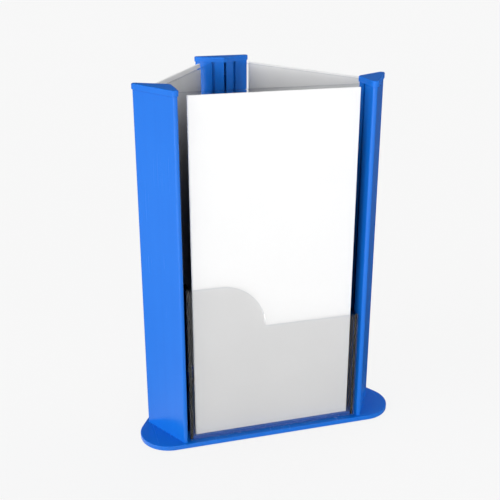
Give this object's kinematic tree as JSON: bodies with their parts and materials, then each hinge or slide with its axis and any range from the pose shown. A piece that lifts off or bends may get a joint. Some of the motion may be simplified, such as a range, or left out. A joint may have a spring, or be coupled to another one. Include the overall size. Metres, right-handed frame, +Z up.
{
  "type": "three-sided brochure rack",
  "caption": "Countertop brochure rack: wedge posts on a lobed base plate, clear back panels between them, and on each side a clear pocket with a curved high tab holding a leaflet.",
  "frame": {"origin": "on the rack's upright three-fold axis, at the underside of the anti-slip mat that it stands on", "axes": "+Z up; -Y is the outward direction of the front side; the posts stand at 90, 210 and 330 degrees about +Z from +X"},
  "size_m": [0.1648, 0.1479, 0.2198],
  "materials": {
    "blue_plastic": "satin moulded and extruded plastic, saturated blue",
    "clear_acrylic": "polished clear sheet",
    "leaflet_paper": "smooth white coated paper",
    "foam_mat": "matte closed-cell foam sheet",
    "zinc_steel": "zinc-plated"
  },
  "bodies": {
    "rack": {"base_mat": "foam_mat", "base_plate": "blue_plastic", "base_screws": "zinc_steel", "post_right": "blue_plastic", "post_back": "blue_plastic", "post_left": "blue_plastic", "post_cap_right": "blue_plastic", "post_cap_back": "blue_plastic", "post_cap_left": "blue_plastic", "back_panel_front": "clear_acrylic", "pocket_face_front": "clear_acrylic", "pocket_sides_front": "clear_acrylic", "pocket_floor_front": "clear_acrylic", "back_panel_right": "clear_acrylic", "pocket_face_right": "clear_acrylic", "pocket_sides_right": "clear_acrylic", "pocket_floor_right": "clear_acrylic", "back_panel_left": "clear_acrylic", "pocket_face_left": "clear_acrylic", "pocket_sides_left": "clear_acrylic", "pocket_floor_left": "clear_acrylic"},
    "leaflet_front": {"leaflet_front": "leaflet_paper"},
    "leaflet_right": {"leaflet_right": "leaflet_paper"},
    "leaflet_left": {"leaflet_left": "leaflet_paper"}
  },
  "joints": [
    {"name": "leaflet_front_lift", "type": "slide", "parent": "rack", "child": "leaflet_front", "axis": [0, 0, 1], "range_m": [0, 0.215]},
    {"name": "leaflet_right_lift", "type": "slide", "parent": "rack", "child": "leaflet_right", "axis": [0, 0, 1], "range_m": [0, 0.215]},
    {"name": "leaflet_left_lift", "type": "slide", "parent": "rack", "child": "leaflet_left", "axis": [0, 0, 1], "range_m": [0, 0.215]}
  ]
}
